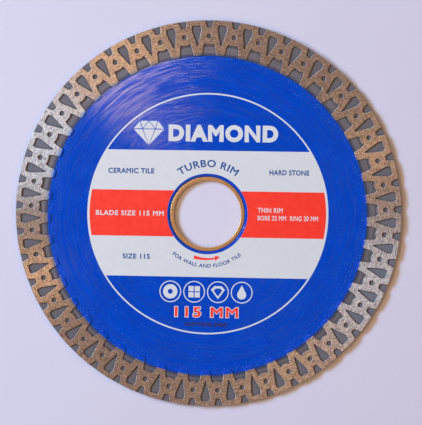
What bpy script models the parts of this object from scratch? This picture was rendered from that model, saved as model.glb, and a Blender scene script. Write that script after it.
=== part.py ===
"""Diamond blade for tile, 115 mm across, with a lattice rim and a reducing ring in its bore.

The blade lies in the XY plane with its printed face up. The origin is the centre of the bore, halfway
through the thickness. +Z is the spindle axis and points out of the printed face, and +Y is the top of
the print. Every length is in metres.
"""
import math

import bmesh
import bpy

MM = 0.001

# Thickness: heights above the middle plane, the same on both faces.
CORE_HALF = 0.50 * MM
LATTICE_HALF = 0.80 * MM
FILM_GAP = 0.02 * MM
LACQUER_THICKNESS = 0.04 * MM
INK_THICKNESS = 0.03 * MM

# Bore and reducing ring.
BORE_RADIUS = 11.115 * MM
RING_CLEARANCE = 0.05 * MM
RING_BORE_RADIUS = 10.00 * MM
RING_HALF = 0.50 * MM
RING_EDGE_RADIUS = 0.24 * MM
RING_EDGE_STEPS = 2

# Rim: radii of the base ring and of its joint with the core.
RIM_RADIUS = 57.50 * MM
BASE_INNER_RADIUS = 49.80 * MM
TONGUE_RADIUS = 51.20 * MM
TONGUE_HALF = 0.27 * MM
JOINT_GAP = 0.04 * MM

# Lattice: one cell holds a coffin-shaped pocket on its own axis, and halfway to the next cell a body
# with a notch, a round pit and an arch. Widths are half widths, measured across the axis they stand on.
CELLS = 45
FIRST_POCKET_ANGLE = math.radians(-1.8)
POCKET_TIP_RADIUS = 50.10 * MM
POCKET_SHOULDER_RADIUS = 54.80 * MM
POCKET_SHOULDER_HALF = 1.50 * MM
POCKET_TOP_RADIUS = 55.95 * MM
POCKET_TOP_HALF = 1.20 * MM
NOTCH_MOUTH_HALF = 1.32 * MM
NOTCH_BOTTOM_RADIUS = 55.30 * MM
NOTCH_BOTTOM_HALF = 0.66 * MM
PIT_CENTRE_RADIUS = 52.83 * MM
PIT_RADIUS = 0.75 * MM
PIT_SIDES = 8
ARCH_RADIUS = 50.30 * MM
ARCH_CORNER_RADIUS = 50.64 * MM
ARCH_CORNER_HALF = 1.43 * MM
FOOT_HEEL_RADIUS = 47.65 * MM
FOOT_HEEL_HALF = 1.22 * MM
FOOT_TOE_RADIUS = 47.02 * MM
FOOT_TOE_HALF = 0.72 * MM

# Lacquer and ink outlines.
LACQUER_INNER_RADIUS = 11.20 * MM
LACQUER_OUTER_RADIUS = 46.85 * MM
PRINT_RADIUS = 35.97 * MM
PRINT_LINE_WIDTH = 0.45 * MM
PRINT_HUB_RADIUS = 12.03 * MM
WHITE_BAND_HALF = 18.85 * MM
RED_BAND_HALF = 6.90 * MM
RED_BAND_RADIUS = 35.25 * MM
ARROW_RADIUS = 13.45 * MM
ARROW_TAIL_ANGLE = math.radians(-107)
ARROW_NECK_ANGLE = math.radians(-80)
ARROW_TIP_ANGLE = math.radians(-72)
ARROW_TAIL_WIDTH = 1.00 * MM
ARROW_NECK_WIDTH = 0.45 * MM
ARROW_HEAD_WIDTH = 1.50 * MM

# Every turned piece has its corners on the same spokes, two to a cell, so that nested pieces keep an
# even gap all round.
SPOKES = 2 * CELLS
CELL_ANGLE = 2 * math.pi / CELLS
SPOKE_ANGLE = 2 * math.pi / SPOKES
FIRST_SPOKE_ANGLE = FIRST_POCKET_ANGLE + SPOKE_ANGLE / 2

FLOOR_HALF = CORE_HALF + FILM_GAP
LACQUER_TOP = FLOOR_HALF + LACQUER_THICKNESS
WHITE_LOW = LACQUER_TOP + FILM_GAP
WHITE_TOP = WHITE_LOW + INK_THICKNESS
RED_LOW = WHITE_TOP + FILM_GAP
RED_TOP = RED_LOW + INK_THICKNESS

MERGE_DISTANCE = 0.001 * MM
SMOOTH_ANGLE = math.radians(30)


def clear_scene():
    for thing in list(bpy.data.objects):
        bpy.data.objects.remove(thing, do_unlink=True)


def principled(name, colour, roughness, metallic):
    """A plain material with the piece's colour, roughness and metal value."""
    material = bpy.data.materials.new(name)
    material.use_nodes = True
    shader = material.node_tree.nodes["Principled BSDF"]
    shader.inputs["Base Color"].default_value = (*colour, 1.0)
    shader.inputs["Roughness"].default_value = roughness
    shader.inputs["Metallic"].default_value = metallic
    return material


def finish_piece(name, bm, material):
    """Turn the faces outwards, shade the round walls smooth and put the piece in the scene."""
    bmesh.ops.recalc_face_normals(bm, faces=bm.faces[:])
    mesh = bpy.data.meshes.new(name)
    bm.to_mesh(mesh)
    bm.free()
    mesh.shade_smooth()
    mesh.set_sharp_from_angle(angle=SMOOTH_ANGLE)
    mesh.materials.append(material)
    piece = bpy.data.objects.new(name, mesh)
    bpy.context.scene.collection.objects.link(piece)
    return piece


def polar(radius, angle):
    return (radius * math.cos(angle), radius * math.sin(angle))


def beside_axis(axis_angle, radius, offset):
    """A plan point at a distance out along an axis and an offset across it, anticlockwise positive."""
    cosine = math.cos(axis_angle)
    sine = math.sin(axis_angle)
    return (radius * cosine - offset * sine, radius * sine + offset * cosine)


def arc(radius, start, end, steps):
    """Plan points along an arc about the origin, both ends included."""
    return [polar(radius, start + (end - start) * i / steps) for i in range(steps + 1)]


def circle(radius):
    return [polar(radius, FIRST_SPOKE_ANGLE + i * SPOKE_ANGLE) for i in range(SPOKES)]


def turned(name, profile, material):
    """A piece turned about the spindle axis from a closed profile of (radius, height) points."""
    bm = bmesh.new()
    verts = [bm.verts.new((*polar(radius, FIRST_SPOKE_ANGLE), height)) for radius, height in profile]
    edges = [bm.edges.new((verts[i - 1], verts[i])) for i in range(len(verts))]
    bmesh.ops.spin(bm, geom=verts + edges, cent=(0, 0, 0), axis=(0, 0, 1), dvec=(0, 0, 0),
                   angle=2 * math.pi, steps=SPOKES, use_merge=True, use_duplicate=False)
    bmesh.ops.remove_doubles(bm, verts=bm.verts[:], dist=MERGE_DISTANCE)
    return finish_piece(name, bm, material)


def flat_patch(name, outlines, low, high, material):
    """A flat patch between two heights: the first outline is its edge, the others are its holes."""
    bm = bmesh.new()
    edges = []
    for outline in outlines:
        verts = [bm.verts.new((x, y, low)) for x, y in outline]
        edges += [bm.edges.new((verts[i - 1], verts[i])) for i in range(len(verts))]
    bmesh.ops.triangle_fill(bm, edges=edges, use_beauty=True, use_dissolve=False, normal=(0, 0, 1))
    raised = bmesh.ops.extrude_face_region(bm, geom=bm.faces[:])["geom"]
    raised_verts = [item for item in raised if isinstance(item, bmesh.types.BMVert)]
    bmesh.ops.translate(bm, verts=raised_verts, vec=(0, 0, high - low))
    return finish_piece(name, bm, material)


def steel_core(material):
    """The steel blank: a flat disc with the bore, and a thin tongue that the rim is pressed over."""
    edge_radius = BASE_INNER_RADIUS - JOINT_GAP
    profile = [
        (BORE_RADIUS, -CORE_HALF),
        (edge_radius, -CORE_HALF),
        (edge_radius, -TONGUE_HALF),
        (TONGUE_RADIUS, -TONGUE_HALF),
        (TONGUE_RADIUS, TONGUE_HALF),
        (edge_radius, TONGUE_HALF),
        (edge_radius, CORE_HALF),
        (BORE_RADIUS, CORE_HALF),
    ]
    return turned("steel_core", profile, material)


def reducing_ring(material):
    """The bush in the bore, with its four edges rounded."""
    inner = RING_BORE_RADIUS
    outer = BORE_RADIUS - RING_CLEARANCE
    inset = RING_EDGE_RADIUS
    corners = [
        (outer - inset, RING_HALF - inset, 0.0),
        (inner + inset, RING_HALF - inset, 0.5 * math.pi),
        (inner + inset, -RING_HALF + inset, math.pi),
        (outer - inset, -RING_HALF + inset, 1.5 * math.pi),
    ]
    profile = []
    for centre_radius, centre_height, start in corners:
        for step in range(RING_EDGE_STEPS + 1):
            angle = start + 0.5 * math.pi * step / RING_EDGE_STEPS
            profile.append((centre_radius + inset * math.cos(angle), centre_height + inset * math.sin(angle)))
    return turned("reducing_ring", profile, material)


def lattice_points():
    """Plan points of the whole lattice by (name, cell, side), side 0 being on the axis itself."""
    points = {}
    mouth_angle = math.asin(NOTCH_MOUTH_HALF / RIM_RADIUS)
    for cell in range(CELLS):
        pocket = FIRST_POCKET_ANGLE + cell * CELL_ANGLE
        body = pocket + CELL_ANGLE / 2
        points["crest", cell, 0] = polar(RIM_RADIUS, pocket)
        points["tip", cell, 0] = polar(POCKET_TIP_RADIUS, pocket)
        points["arch", cell, 0] = polar(ARCH_RADIUS, body)
        for side in (-1, 1):
            points["shoulder", cell, side] = beside_axis(
                pocket, POCKET_SHOULDER_RADIUS, side * POCKET_SHOULDER_HALF)
            points["top", cell, side] = beside_axis(pocket, POCKET_TOP_RADIUS, side * POCKET_TOP_HALF)
            points["root", cell, side] = polar(BASE_INNER_RADIUS, pocket + side * SPOKE_ANGLE / 2)
            points["heel", cell, side] = beside_axis(pocket, FOOT_HEEL_RADIUS, side * FOOT_HEEL_HALF)
            points["toe", cell, side] = beside_axis(pocket, FOOT_TOE_RADIUS, side * FOOT_TOE_HALF)
            points["mouth", cell, side] = polar(RIM_RADIUS, body + side * mouth_angle)
            points["notch", cell, side] = beside_axis(body, NOTCH_BOTTOM_RADIUS, side * NOTCH_BOTTOM_HALF)
            points["corner", cell, side] = beside_axis(body, ARCH_CORNER_RADIUS, side * ARCH_CORNER_HALF)
        for step in range(PIT_SIDES):
            turn = 2 * math.pi * step / PIT_SIDES
            points["pit", cell, step] = beside_axis(
                body, PIT_CENTRE_RADIUS + PIT_RADIUS * math.cos(turn), PIT_RADIUS * math.sin(turn))
    return points


def lattice_faces(cell):
    """Outlines of one cell's raised metal: two that stand on the base ring, then its foot."""
    last = (cell - 1) % CELLS
    half_turn = PIT_SIDES // 2
    near_pit = [("pit", cell, (PIT_SIDES - step) % PIT_SIDES) for step in range(half_turn + 1)]
    far_pit = [("pit", last, half_turn - step) for step in range(half_turn + 1)]
    after_pocket = [("crest", cell, 0), ("mouth", cell, -1), ("notch", cell, -1)] + near_pit + [
        ("arch", cell, 0), ("corner", cell, -1), ("root", cell, 1), ("tip", cell, 0),
        ("shoulder", cell, 1), ("top", cell, 1)]
    before_pocket = [
        ("crest", cell, 0), ("top", cell, 1), ("top", cell, -1), ("shoulder", cell, -1),
        ("tip", cell, 0), ("root", cell, 1), ("root", cell, -1), ("corner", last, 1),
        ("arch", last, 0)] + far_pit + [("notch", last, -1), ("notch", last, 1), ("mouth", last, 1)]
    foot = [("root", cell, 1), ("heel", cell, 1), ("toe", cell, 1),
            ("toe", cell, -1), ("heel", cell, -1), ("root", cell, -1)]
    return after_pocket, before_pocket, foot


def floor_faces(cell):
    """Outlines of one cell's pocket floors, at the height of the base ring."""
    after = (cell + 1) % CELLS
    coffin = [("tip", cell, 0), ("shoulder", cell, 1), ("top", cell, 1),
              ("top", cell, -1), ("shoulder", cell, -1)]
    pit = [("pit", cell, step) for step in range(PIT_SIDES)]
    notch = [("mouth", cell, -1), ("notch", cell, -1), ("notch", cell, 1), ("mouth", cell, 1)]
    arch = [("root", cell, 1), ("corner", cell, -1), ("arch", cell, 0),
            ("corner", cell, 1), ("root", after, -1)]
    return coffin, pit, notch, arch


def strip(bm, upper, lower):
    """A closed band of four-sided faces between two loops of corners."""
    for i in range(len(upper)):
        bm.faces.new((upper[i - 1], upper[i], lower[i], lower[i - 1]))


def diamond_rim(material):
    """The sintered rim: its upper half is built cell by cell and mirrored in the middle plane."""
    bm = bmesh.new()
    points = lattice_points()
    low = {key: bm.verts.new((x, y, FLOOR_HALF)) for key, (x, y) in points.items()}
    high = {key: bm.verts.new((x, y, LATTICE_HALF)) for key, (x, y) in points.items()}

    for cell in range(CELLS):
        after_pocket, before_pocket, foot = lattice_faces(cell)
        for outline in (after_pocket, before_pocket, foot):
            bm.faces.new([high[key] for key in outline])
        for outline in floor_faces(cell):
            bm.faces.new([low[key] for key in outline])
        bm.faces.new([low[key] for key in foot])

    corner_key = {vert: key for key, vert in high.items()}
    for edge in [edge for edge in bm.edges if edge.is_boundary]:
        start, end = (corner_key.get(vert) for vert in edge.verts)
        if start and end:
            bm.faces.new((high[start], high[end], low[end], low[start]))

    outer_keys = []
    inner_keys = []
    for cell in range(CELLS):
        outer_keys += [("crest", cell, 0), ("mouth", cell, -1), ("mouth", cell, 1)]
        inner_keys += [("root", cell, -1), ("root", cell, 1)]

    def ring_of(keys, radius_scale, height):
        return [bm.verts.new((*(radius_scale * value for value in points[key]), height)) for key in keys]

    slot_depth = (TONGUE_RADIUS + JOINT_GAP) / BASE_INNER_RADIUS
    slot_half = TONGUE_HALF + JOINT_GAP
    slot_mouth = ring_of(inner_keys, 1.0, slot_half)
    slot_corner = ring_of(inner_keys, slot_depth, slot_half)
    slot_middle = ring_of(inner_keys, slot_depth, 0.0)
    outer_middle = ring_of(outer_keys, 1.0, 0.0)
    strip(bm, [low[key] for key in outer_keys], outer_middle)
    strip(bm, [low[key] for key in inner_keys], slot_mouth)
    strip(bm, slot_mouth, slot_corner)
    strip(bm, slot_corner, slot_middle)

    everything = bm.verts[:] + bm.edges[:] + bm.faces[:]
    bmesh.ops.mirror(bm, geom=everything, axis="Z", merge_dist=MERGE_DISTANCE)
    middle = [edge for edge in bm.edges if all(abs(vert.co.z) < MERGE_DISTANCE for vert in edge.verts)]
    bmesh.ops.dissolve_edges(bm, edges=middle, use_verts=True)
    return finish_piece("diamond_rim", bm, material)


def lacquer(name, face, material):
    """One coat of lacquer: face is 1 for the printed side and -1 for the back."""
    low = face * FLOOR_HALF
    high = face * LACQUER_TOP
    profile = [(LACQUER_INNER_RADIUS, low), (LACQUER_OUTER_RADIUS, low),
               (LACQUER_OUTER_RADIUS, high), (LACQUER_INNER_RADIUS, high)]
    return turned(name, profile, material)


def white_print(material):
    """The circle line and the wide middle band, one patch with the hub and two windows cut out."""
    window_radius = PRINT_RADIUS - PRINT_LINE_WIDTH
    window_angle = math.asin(WHITE_BAND_HALF / window_radius)
    window_steps = 24
    upper = arc(window_radius, window_angle, math.pi - window_angle, window_steps)
    lower = arc(window_radius, math.pi + window_angle, 2 * math.pi - window_angle, window_steps)
    outlines = [circle(PRINT_RADIUS), upper, lower, circle(PRINT_HUB_RADIUS)]
    return flat_patch("white_print", outlines, WHITE_LOW, WHITE_TOP, material)


def red_band(name, centre_angle, material):
    """One red band, between the hub and the circle line, on the side that the angle points to."""
    outer_angle = math.asin(RED_BAND_HALF / RED_BAND_RADIUS)
    inner_angle = math.asin(RED_BAND_HALF / PRINT_HUB_RADIUS)
    steps = 12
    outline = arc(RED_BAND_RADIUS, centre_angle - outer_angle, centre_angle + outer_angle, steps)
    outline += arc(PRINT_HUB_RADIUS, centre_angle + inner_angle, centre_angle - inner_angle, steps)
    return flat_patch(name, [outline], RED_LOW, RED_TOP, material)


def rotation_arrow(material):
    """A curved arrow under the bore, its shaft narrowing towards its head."""
    steps = 6
    outer = []
    inner = []
    for i in range(steps + 1):
        part = i / steps
        angle = ARROW_TAIL_ANGLE + part * (ARROW_NECK_ANGLE - ARROW_TAIL_ANGLE)
        half = 0.5 * (ARROW_TAIL_WIDTH + part * (ARROW_NECK_WIDTH - ARROW_TAIL_WIDTH))
        outer.append(polar(ARROW_RADIUS + half, angle))
        inner.append(polar(ARROW_RADIUS - half, angle))
    head = [polar(ARROW_RADIUS + ARROW_HEAD_WIDTH / 2, ARROW_NECK_ANGLE),
            polar(ARROW_RADIUS, ARROW_TIP_ANGLE),
            polar(ARROW_RADIUS - ARROW_HEAD_WIDTH / 2, ARROW_NECK_ANGLE)]
    return flat_patch("rotation_arrow", [outer + head + inner[::-1]], RED_LOW, RED_TOP, material)


def build():
    clear_scene()
    steel = principled("bare_steel", (0.42, 0.42, 0.43), 0.35, 1.0)
    sintered = principled("sintered_metal", (0.40, 0.33, 0.26), 0.50, 0.9)
    copper = principled("copper_alloy", (0.62, 0.33, 0.14), 0.28, 1.0)
    blue = principled("blue_lacquer", (0.005, 0.065, 0.50), 0.30, 0.0)
    white = principled("white_ink", (0.68, 0.70, 0.74), 0.40, 0.0)
    red = principled("red_ink", (0.85, 0.045, 0.025), 0.40, 0.0)

    steel_core(steel)
    diamond_rim(sintered)
    reducing_ring(copper)
    lacquer("front_lacquer", 1, blue)
    lacquer("back_lacquer", -1, blue)
    white_print(white)
    red_band("red_band_right", 0.0, red)
    red_band("red_band_left", math.pi, red)
    rotation_arrow(red)


build()
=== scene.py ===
"""Looks of the diamond blade: finer meshes for every piece, their materials, the studio and the camera."""
import math

import bmesh
import bpy
from mathutils import Matrix, Vector, noise


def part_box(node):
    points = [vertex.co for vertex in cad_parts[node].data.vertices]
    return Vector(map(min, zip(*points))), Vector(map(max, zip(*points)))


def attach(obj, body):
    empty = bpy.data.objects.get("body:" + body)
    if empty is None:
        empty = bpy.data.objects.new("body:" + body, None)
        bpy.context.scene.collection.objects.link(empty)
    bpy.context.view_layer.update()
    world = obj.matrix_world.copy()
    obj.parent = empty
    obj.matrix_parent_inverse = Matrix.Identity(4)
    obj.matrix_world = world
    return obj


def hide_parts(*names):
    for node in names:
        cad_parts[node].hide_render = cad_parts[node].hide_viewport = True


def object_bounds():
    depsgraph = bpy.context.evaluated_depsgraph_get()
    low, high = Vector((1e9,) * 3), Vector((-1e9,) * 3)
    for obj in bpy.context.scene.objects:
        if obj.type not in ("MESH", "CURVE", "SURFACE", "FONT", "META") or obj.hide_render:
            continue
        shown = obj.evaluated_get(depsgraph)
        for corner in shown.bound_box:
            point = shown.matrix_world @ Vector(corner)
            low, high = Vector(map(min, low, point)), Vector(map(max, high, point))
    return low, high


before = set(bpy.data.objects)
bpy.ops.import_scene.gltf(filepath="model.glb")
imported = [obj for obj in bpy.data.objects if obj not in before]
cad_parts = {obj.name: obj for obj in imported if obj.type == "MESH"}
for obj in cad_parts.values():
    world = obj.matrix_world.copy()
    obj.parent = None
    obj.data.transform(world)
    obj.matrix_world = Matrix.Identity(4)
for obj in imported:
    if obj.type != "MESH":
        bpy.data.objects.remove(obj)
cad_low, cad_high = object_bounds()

MM = 0.001
FULL_TURN = 2 * math.pi
MERGE_DISTANCE = 0.0001 * MM

# Sizes read from the frame. The rim stays just inside the CAD model's edge.
TOP = cad_high.z
RIM_RADIUS = min(cad_high.x, cad_high.y, -cad_low.x, -cad_low.y) - 0.005 * MM
CORE_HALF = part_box("steel_core")[1].z
TONGUE_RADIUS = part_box("steel_core")[1].x
RING_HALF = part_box("reducing_ring")[1].z
RING_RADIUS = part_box("reducing_ring")[1].x
PRINT_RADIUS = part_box("white_print")[1].x

# Bore, ring and the joint between core and rim. A coat keeps a share of its thickness on the chamfer.
BORE_RADIUS = RING_RADIUS + 0.05 * MM
BORE_CHAMFER = 0.42 * MM
COAT_ON_CHAMFER = 0.4
CORE_SPOKES = 360
RING_BORE_RADIUS = 10.00 * MM
RING_EDGE_RADIUS = 0.20 * MM
RING_EDGE_STEPS = 6
RING_GROOVE = 0.02 * MM
RING_SPOKES = 256
BASE_INNER_RADIUS = 49.80 * MM
TONGUE_HALF = 0.27 * MM
JOINT_GAP = 0.04 * MM
STEP_BEVEL = 0.04 * MM

# Heights: the floor of the rim's pockets, the lacquer's two sides above the steel, and the undersides of
# the inks, which lie on the lacquer, on the white and on the red.
FLOOR = CORE_HALF - 0.100 * MM
LACQUER_LOW = 0.003 * MM
LACQUER_HIGH = 0.022 * MM
WHITE_LOW = CORE_HALF + 0.026 * MM
RED_LOW = CORE_HALF + 0.038 * MM
WORD_LOW = CORE_HALF + 0.050 * MM
INK_THICKNESS = 0.008 * MM

# Lattice, as distances along the axes of its pockets and of the solid bodies between them, and half widths
# across. BEVEL_MIDDLE is how far in from each face the middle of the round bevel lies, as a share of its
# width. A cut is how far from its corner a rounding starts. Parts are shares of a half width or angle.
# An edge angle is half the angle between two corners where the floor ends under a notch or a foot.
CELLS = 45
CELL_ANGLE = FULL_TURN / CELLS
FIRST_POCKET_ANGLE = math.radians(-1.8)
CORNER_STEPS = 4
CREST_STEPS = 5
LATTICE_BEVEL = 0.08 * MM
BEVEL_MIDDLE = 0.29
WALL_DRAFT = 0.06 * MM
WALL_FILLET = 0.06 * MM
POCKET_TIP_RADIUS = 50.02 * MM
POCKET_TIP_HALF = 0.13 * MM
POCKET_SHOULDER_RADIUS = 54.80 * MM
POCKET_SHOULDER_HALF = 1.48 * MM
POCKET_SHOULDER_CUT = 0.35 * MM
POCKET_TOP_RADIUS = 56.05 * MM
POCKET_TOP_HALF = 1.20 * MM
POCKET_TOP_CUT = 0.22 * MM
NOTCH_MOUTH_HALF = 1.30 * MM
NOTCH_BOTTOM_RADIUS = 55.27 * MM
NOTCH_BOTTOM_HALF = 0.68 * MM
NOTCH_CUT = 0.30 * MM
NOTCH_EDGE_ANGLE = 0.008
PIT_CENTRE_RADIUS = 52.83 * MM
PIT_RADIUS = 0.72 * MM
PIT_SIDES = 24
ARCH_CORNER_RADIUS = 50.66 * MM
ARCH_CORNER_HALF = 1.40 * MM
ARCH_CUT = 0.22 * MM
ARCH_BULGE = 0.36 * MM
ARCH_PARTS = (-0.65, -0.35, 0.0, 0.35, 0.65)
LIP_BULGE = 0.10 * MM
LIP_PARTS = (-0.75, -0.5, -0.25, 0.0, 0.25, 0.5, 0.75)
FOOT_ROOT_ANGLE = math.radians(2.0)
FOOT_EDGE_ANGLE = 0.012
FOOT_TOE_RADIUS = 47.02 * MM
FOOT_TOE_HALF = 1.16 * MM
FOOT_TOE_CUT = 0.50 * MM

# Lacquer: on each face, front 1 and back -1, the masked circle sits a little off the blade's centre. Its
# edge has slow waves and fine rags, noise that is read along circles of the two turns' radii.
LACQUER_RADIUS = 47.70 * MM
LACQUER_CENTRE = {1: (-0.25 * MM, -0.68 * MM), -1: (0.30 * MM, 0.25 * MM)}
LACQUER_FACE_RADII = (20 * MM, 34 * MM)
LACQUER_EDGE_WIDTH = 0.12 * MM
LACQUER_WAVE = 0.06 * MM
LACQUER_WAVE_TURN = 40
LACQUER_RAG = 0.07 * MM
LACQUER_RAG_TURN = 190
LACQUER_SPOKES = 1080
LACQUER_LINES_RADIUS = 40 * MM
SPRAY_RAG = 0.9 * MM
SPRAY_SIDE = (-0.77, 0.64, 0.0)
# Reach of the painted shade that darkens corners and recesses of the rim's pockets and of the steel.
CORNER_SHADE_REACH = 0.60 * MM

# White print and the red bands over it.
PRINT_LINE_WIDTH = 0.45 * MM
PRINT_BAND_HALF = 18.85 * MM
PRINT_HUB_RADIUS = 12.03 * MM
RED_RADIUS = 35.28 * MM
RED_HALF = 6.88 * MM
RED_HUB_RADIUS = 12.05 * MM

# Rotation arrow: angles of its ends and of its neck, and half widths about a middle circle.
ARROW_RADIUS = 13.45 * MM
ARROW_TAIL_ANGLE = math.radians(-106.5)
ARROW_NECK_ANGLE = math.radians(-79.5)
ARROW_TIP_ANGLE = math.radians(-72.5)
ARROW_TAIL_HALF = 0.52 * MM
ARROW_NARROWING = 0.30 * MM
ARROW_OUTER_BARB = 0.72 * MM
ARROW_INNER_BARB = 0.78 * MM
ARROW_TIP_INSET = 0.10 * MM
ARROW_STEPS = 20

# Emblem and signs.
GEM_CENTRE = Vector((-17.8, 24.1)) * MM
GEM_GAP = 0.22 * MM
SIGN_CENTRES = [Vector((x, -23.3)) * MM for x in (-10.75, -3.6, 3.5, 10.6)]
SIGN_RADIUS = 3.25 * MM
SIGN_LINE_WIDTH = 0.30 * MM

# Faces within this of level are shaded flat; round walls are shaded smooth up to the angle.
FLAT_LIMIT = 0.9999
SMOOTH_ANGLE = math.radians(20)

# Letters, in units of the font: shortest step along an outline, and the distance that joins two points.
# MITRE_LIMIT keeps the pointed corners of bolder ink short: one plus a turn's cosine never counts as less.
LETTER_CURVE_STEPS = 5
LETTER_STEP = 0.012
LETTER_MERGE = 1e-5
MITRE_LIMIT = 0.45

# The paper lies just under the blade. The ceiling's light goes by a direction's nearness to an axis.
PAPER_HALF = 4.0
FLOOR_GAP = 0.02 * MM
CEILING_AXIS = (-0.048, -0.030, 0.998)


# Mesh helpers

def link(thing):
    bpy.context.scene.collection.objects.link(thing)


def polar(radius, angle):
    return Vector((radius * math.cos(angle), radius * math.sin(angle)))


def beside_axis(axis_angle, along, across):
    """A plan point a distance out along an axis and a distance across it, anticlockwise positive."""
    out = Vector((math.cos(axis_angle), math.sin(axis_angle)))
    return out * along + Vector((-out.y, out.x)) * across


def arc(radius, start, end, steps, centre=(0.0, 0.0)):
    middle = Vector(centre)
    return [middle + polar(radius, start + (end - start) * i / steps) for i in range(steps + 1)]


def circle(radius, sides, centre=(0.0, 0.0)):
    return arc(radius, 0, FULL_TURN, sides, centre)[:-1]


def soften(outline):
    """Round the corners of a closed outline of (point, cut, label) entries; cut 0 keeps a corner."""
    made = []
    for i, (point, cut, label) in enumerate(outline):
        if cut == 0:
            made.append((point, label))
            continue
        before = (outline[i - 1][0] - point).normalized() * cut
        after = (outline[(i + 1) % len(outline)][0] - point).normalized() * cut
        for step in range(CORNER_STEPS + 1):
            part = step / CORNER_STEPS
            made.append((point + before * (1 - part) ** 2 + after * part ** 2, label))
    return made


def finish_mesh(name, bm, material, body="disc", replaces=()):
    """Turn the faces outwards, shade round walls smooth, and let the piece ride on its body."""
    bmesh.ops.recalc_face_normals(bm, faces=bm.faces[:])
    mesh = bpy.data.meshes.new(name)
    bm.to_mesh(mesh)
    bm.free()
    mesh.shade_smooth()
    mesh.set_sharp_from_angle(angle=SMOOTH_ANGLE)
    for face in mesh.polygons:
        if abs(face.normal.z) > FLAT_LIMIT:
            face.use_smooth = False
    mesh.materials.append(material)
    piece = bpy.data.objects.new(name, mesh)
    link(piece)
    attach(piece, body)
    if replaces:
        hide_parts(*replaces)
    return piece


def strip(bm, upper, lower):
    """A closed band of faces between two loops of corners."""
    for i in range(len(upper)):
        bm.faces.new((upper[i - 1], upper[i], lower[i], lower[i - 1]))


def turned(profiles):
    """A closed turned mesh: one closed profile of (radius, height) for each spoke, evenly spaced."""
    bm = bmesh.new()
    spokes = []
    for i, profile in enumerate(profiles):
        angle = FULL_TURN * i / len(profiles)
        spokes.append([bm.verts.new((*polar(radius, angle), height)) for radius, height in profile])
    for i in range(len(spokes)):
        strip(bm, spokes[i - 1], spokes[i])
    return bm


def rounded_corner(centre_radius, centre_height, radius, start_quarter):
    """Profile points of a rounded edge, a quarter turn from the given quarter."""
    points = []
    for step in range(RING_EDGE_STEPS + 1):
        angle = (start_quarter + step / RING_EDGE_STEPS) * math.pi / 2
        points.append((centre_radius + radius * math.cos(angle), centre_height + radius * math.sin(angle)))
    return points


def plate(outlines, low):
    """A flat layer of ink above a height: the first outline is its edge, the others are its holes."""
    bm = bmesh.new()
    edges = []
    for outline in outlines:
        verts = [bm.verts.new((point[0], point[1], low)) for point in outline]
        edges += [bm.edges.new((verts[i - 1], verts[i])) for i in range(len(verts))]
    bmesh.ops.triangle_fill(bm, edges=edges, use_beauty=True, use_dissolve=False, normal=(0, 0, 1))
    raised = bmesh.ops.extrude_face_region(bm, geom=bm.faces[:])["geom"]
    raised_verts = [item for item in raised if isinstance(item, bmesh.types.BMVert)]
    bmesh.ops.translate(bm, verts=raised_verts, vec=(0, 0, INK_THICKNESS))
    return bm


# Rim

def pocket_angle(cell):
    return FIRST_POCKET_ANGLE + cell * CELL_ANGLE


def body_angle(cell):
    """Direction of the solid body between a cell's pocket and the next one."""
    return pocket_angle(cell) + CELL_ANGLE / 2


def outer_outline(grow, edge_radius):
    """The rim's outer edge with its notches, widened by grow, as labelled points."""
    mouth_angle = math.asin((NOTCH_MOUTH_HALF + grow) / edge_radius)
    outline = []
    for cell in range(CELLS):
        body = body_angle(cell)
        start = pocket_angle(cell) - CELL_ANGLE / 2 + mouth_angle
        crest = arc(edge_radius, start, body - mouth_angle, CREST_STEPS)
        outline.append((crest[0], 0, ("mouth", (cell - 1) % CELLS, 1)))
        outline += [(point, 0, "crest") for point in crest[1:-1]]
        outline.append((crest[-1], 0, ("mouth", cell, -1)))
        for side in (-1, 1):
            point = beside_axis(body, NOTCH_BOTTOM_RADIUS - grow, side * (NOTCH_BOTTOM_HALF + grow))
            outline.append((point, NOTCH_CUT, "notch"))
    return soften(outline)


def inner_outline(grow):
    """The lattice's inner edge: feet that lie over the steel, and arches between them."""
    root_half = BASE_INNER_RADIUS * math.sin(FOOT_ROOT_ANGLE) - grow
    root_along = BASE_INNER_RADIUS * math.cos(FOOT_ROOT_ANGLE)
    half = ARCH_CORNER_HALF + grow
    radius = ARCH_CORNER_RADIUS + grow
    outline = []
    for cell in range(CELLS):
        pocket = pocket_angle(cell)
        body = body_angle(cell)
        outline.append((beside_axis(pocket, root_along, -root_half), 0, ("root", cell, -1)))
        for side in (-1, 1):
            toe = beside_axis(pocket, FOOT_TOE_RADIUS + grow, side * (FOOT_TOE_HALF - grow))
            outline.append((toe, FOOT_TOE_CUT, "toe"))
        outline.append((beside_axis(pocket, root_along, root_half), 0, ("root", cell, 1)))
        outline.append((beside_axis(body, radius, -half), ARCH_CUT, "corner"))
        for part in ARCH_PARTS:
            along = radius - ARCH_BULGE * (1 - part ** 2)
            outline.append((beside_axis(body, along, part * half), 0, "arch"))
        outline.append((beside_axis(body, radius, half), ARCH_CUT, "corner"))
    return soften(outline)


def coffin_outline(cell, grow):
    """One coffin-shaped pocket: pointed towards the bore, widest near its flat outer end."""
    pocket = pocket_angle(cell)
    shoulder_half = POCKET_SHOULDER_HALF + grow
    top_half = POCKET_TOP_HALF + grow
    sides = []
    for side in (-1, 1):
        tip = beside_axis(pocket, POCKET_TIP_RADIUS - 2 * grow, side * POCKET_TIP_HALF)
        shoulder = beside_axis(pocket, POCKET_SHOULDER_RADIUS, side * shoulder_half)
        top = beside_axis(pocket, POCKET_TOP_RADIUS + grow, side * top_half)
        sides.append([
            (tip, 0, "tip"),
            (shoulder, POCKET_SHOULDER_CUT, "shoulder"),
            (top, POCKET_TOP_CUT, "top"),
        ])
    return soften(sides[0] + sides[1][::-1])


def pit_outline(cell, grow):
    centre = polar(PIT_CENTRE_RADIUS, body_angle(cell))
    return [(point, "pit") for point in circle(PIT_RADIUS + grow, PIT_SIDES, centre)]


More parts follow.
